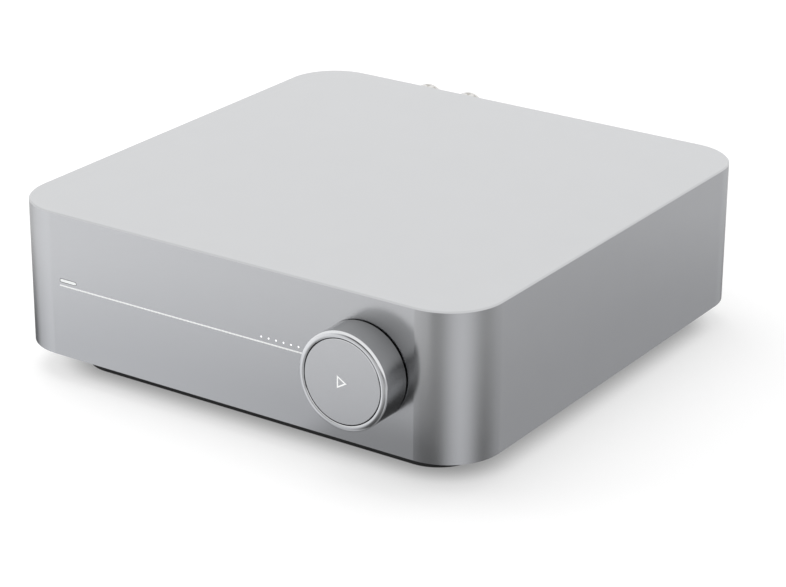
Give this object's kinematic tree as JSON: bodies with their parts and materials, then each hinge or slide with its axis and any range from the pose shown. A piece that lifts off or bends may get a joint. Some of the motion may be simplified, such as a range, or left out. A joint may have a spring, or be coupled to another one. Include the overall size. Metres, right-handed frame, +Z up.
{
  "type": "streaming amplifier",
  "caption": "Low square aluminium amplifier on a dark base, with a turning volume ring round a push button and a rear socket panel with screw-down speaker posts.",
  "frame": {"origin": "on the standing surface, under the centre of the square housing", "axes": "+Z up, -Y towards the front face with the volume ring, +X to the right seen from the front"},
  "size_m": [0.19, 0.222, 0.063],
  "materials": {
    "shell_aluminium": "fine bead-blasted, clear anodised",
    "ring_aluminium": "turned, fine bead-blasted, clear anodised",
    "button_aluminium": "fine bead-blasted, clear anodised",
    "base_plastic": "matt black moulding",
    "pad_rubber": "matt silicone rubber",
    "panel_paint": "fine matt black powder coat",
    "white_light": "translucent white, lit",
    "lamp_light": "translucent white",
    "line_inlay": "polished",
    "black_plastic": "moulded",
    "post_metal": "nickel plated, turned",
    "ring_red": "moulded",
    "ring_black": "moulded",
    "core_white": "moulded",
    "socket_steel": "tinned steel",
    "screw_steel": "black oxide",
    "spindle_steel": "turned and pressed steel",
    "pin_brass": "nickel-plated brass",
    "board_green": "solder mask",
    "antenna_board": "thin circuit board and coaxial lead",
    "sink_aluminium": "extruded",
    "capacitor_sleeve": "printed-free sleeve",
    "ferrite": "ferrite",
    "winding_tape": "tape",
    "lead_insulation": "sleeved wire",
    "ribbon": "flat flexible cable"
  },
  "bodies": {
    "chassis": {"accent_line": "line_inlay", "amplifier_chip": "black_plastic", "antennas": "antenna_board", "base_pad": "pad_rubber", "base_screws": "screw_steel", "base_tray": "base_plastic", "button_switch": "black_plastic", "capacitors": "capacitor_sleeve", "enclosure_shell": "shell_aluminium", "encoder_sensor": "black_plastic", "front_board": "board_green", "guide_holder": "black_plastic", "heat_sinks": "sink_aluminium", "indicator_guides": "lamp_light", "inductors": "ferrite", "knob_bracket": "spindle_steel", "main_board": "board_green", "mains_inlet": "black_plastic", "mains_pins": "pin_brass", "network_port": "socket_steel", "optical_port": "black_plastic", "pan_screws": "screw_steel", "polarity_rings_black": "ring_black", "polarity_rings_red": "ring_red", "post_plate": "black_plastic", "post_terminals": "post_metal", "power_board": "board_green", "rca_contacts": "post_metal", "rca_core_black": "ring_black", "rca_core_red": "ring_red", "rca_core_white": "core_white", "rca_housings": "black_plastic", "rear_panel": "panel_paint", "ribbon_cable": "ribbon", "socket_shells": "socket_steel", "socket_tongues": "black_plastic", "speaker_posts": "post_metal", "spindle": "spindle_steel", "spindle_clip": "screw_steel", "status_window": "white_light", "streaming_module": "socket_steel", "supply_leads": "lead_insulation", "transformer_core": "ferrite", "transformer_winding": "winding_tape"},
    "volume_knob": {"volume_ring": "ring_aluminium", "ring_carrier": "black_plastic", "encoder_wheel": "black_plastic"},
    "button": {"play_button": "button_aluminium", "stem_clip": "screw_steel", "switch_plunger": "black_plastic"},
    "shutter": {"optical_shutter": "black_plastic"},
    "washer_upper_inner": {"clamp_washer_upper_inner": "post_metal"},
    "cap_upper_inner": {"post_cap_upper_inner": "post_metal"},
    "washer_upper_outer": {"clamp_washer_upper_outer": "post_metal"},
    "cap_upper_outer": {"post_cap_upper_outer": "post_metal"},
    "washer_lower_inner": {"clamp_washer_lower_inner": "post_metal"},
    "cap_lower_inner": {"post_cap_lower_inner": "post_metal"},
    "washer_lower_outer": {"clamp_washer_lower_outer": "post_metal"},
    "cap_lower_outer": {"post_cap_lower_outer": "post_metal"}
  },
  "joints": [
    {"name": "volume_turn", "type": "hinge", "parent": "chassis", "child": "volume_knob", "pos_m": [0.0556, -0.1, 0.03695], "axis": [0, 1, 0], "continuous": true},
    {"name": "play_press", "type": "slide", "parent": "chassis", "child": "button", "axis": [0, 1, 0], "range_m": [0, 0.0006], "stiffness_N_per_m": 2500},
    {"name": "shutter_swing", "type": "hinge", "parent": "chassis", "child": "shutter", "pos_m": [0.0245, 0.0937, 0.0331], "axis": [-1, 0, 0], "range_deg": [0, 85], "stiffness_Nm_per_rad": 0.0002},
    {"name": "clamp_upper_inner", "type": "slide", "parent": "chassis", "child": "washer_upper_inner", "axis": [0, 1, 0], "range_m": [0, 0.005]},
    {"name": "cap_turn_upper_inner", "type": "hinge", "parent": "washer_upper_inner", "child": "cap_upper_inner", "pos_m": [-0.0369, 0.107, 0.0497], "axis": [0, 1, 0], "range_deg": [0, 1800]},
    {"name": "clamp_upper_outer", "type": "slide", "parent": "chassis", "child": "washer_upper_outer", "axis": [0, 1, 0], "range_m": [0, 0.005]},
    {"name": "cap_turn_upper_outer", "type": "hinge", "parent": "washer_upper_outer", "child": "cap_upper_outer", "pos_m": [-0.0559, 0.107, 0.0497], "axis": [0, 1, 0], "range_deg": [0, 1800]},
    {"name": "clamp_lower_inner", "type": "slide", "parent": "chassis", "child": "washer_lower_inner", "axis": [0, 1, 0], "range_m": [0, 0.005]},
    {"name": "cap_turn_lower_inner", "type": "hinge", "parent": "washer_lower_inner", "child": "cap_lower_inner", "pos_m": [-0.0369, 0.107, 0.0307], "axis": [0, 1, 0], "range_deg": [0, 1800]},
    {"name": "clamp_lower_outer", "type": "slide", "parent": "chassis", "child": "washer_lower_outer", "axis": [0, 1, 0], "range_m": [0, 0.005]},
    {"name": "cap_turn_lower_outer", "type": "hinge", "parent": "washer_lower_outer", "child": "cap_lower_outer", "pos_m": [-0.0559, 0.107, 0.0307], "axis": [0, 1, 0], "range_deg": [0, 1800]}
  ],
  "couplings": [
    {"joint": "cap_turn_upper_inner", "follows": "clamp_upper_inner", "rad_per_m": 6283.2},
    {"joint": "cap_turn_upper_outer", "follows": "clamp_upper_outer", "rad_per_m": 6283.2},
    {"joint": "cap_turn_lower_inner", "follows": "clamp_lower_inner", "rad_per_m": 6283.2},
    {"joint": "cap_turn_lower_outer", "follows": "clamp_lower_outer", "rad_per_m": 6283.2}
  ]
}
